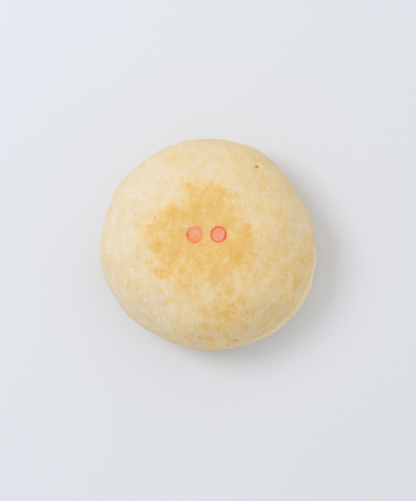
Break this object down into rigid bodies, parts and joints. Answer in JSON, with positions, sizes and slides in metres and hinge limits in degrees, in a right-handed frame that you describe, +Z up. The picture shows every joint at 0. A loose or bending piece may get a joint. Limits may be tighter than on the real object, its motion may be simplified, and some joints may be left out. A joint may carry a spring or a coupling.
{
  "type": "mooncake",
  "caption": "Round flaky-crust baked mooncake, domed and uneven, with a browned top and red dye stamps in its middle. Rests on its flat base.",
  "frame": {"origin": "middle of the bounding box's bottom, on the flat base", "axes": "+Z up through the domed top, +X to the right and +Y to the back as the picture shows it from above"},
  "size_m": [0.0762, 0.074, 0.0333],
  "materials": {
    "crust": "pale matt baked flaky pastry, golden brown in the middle of the top and on the base"
  },
  "bodies": {
    "root": {"pastry": "crust"}
  },
  "joints": []
}
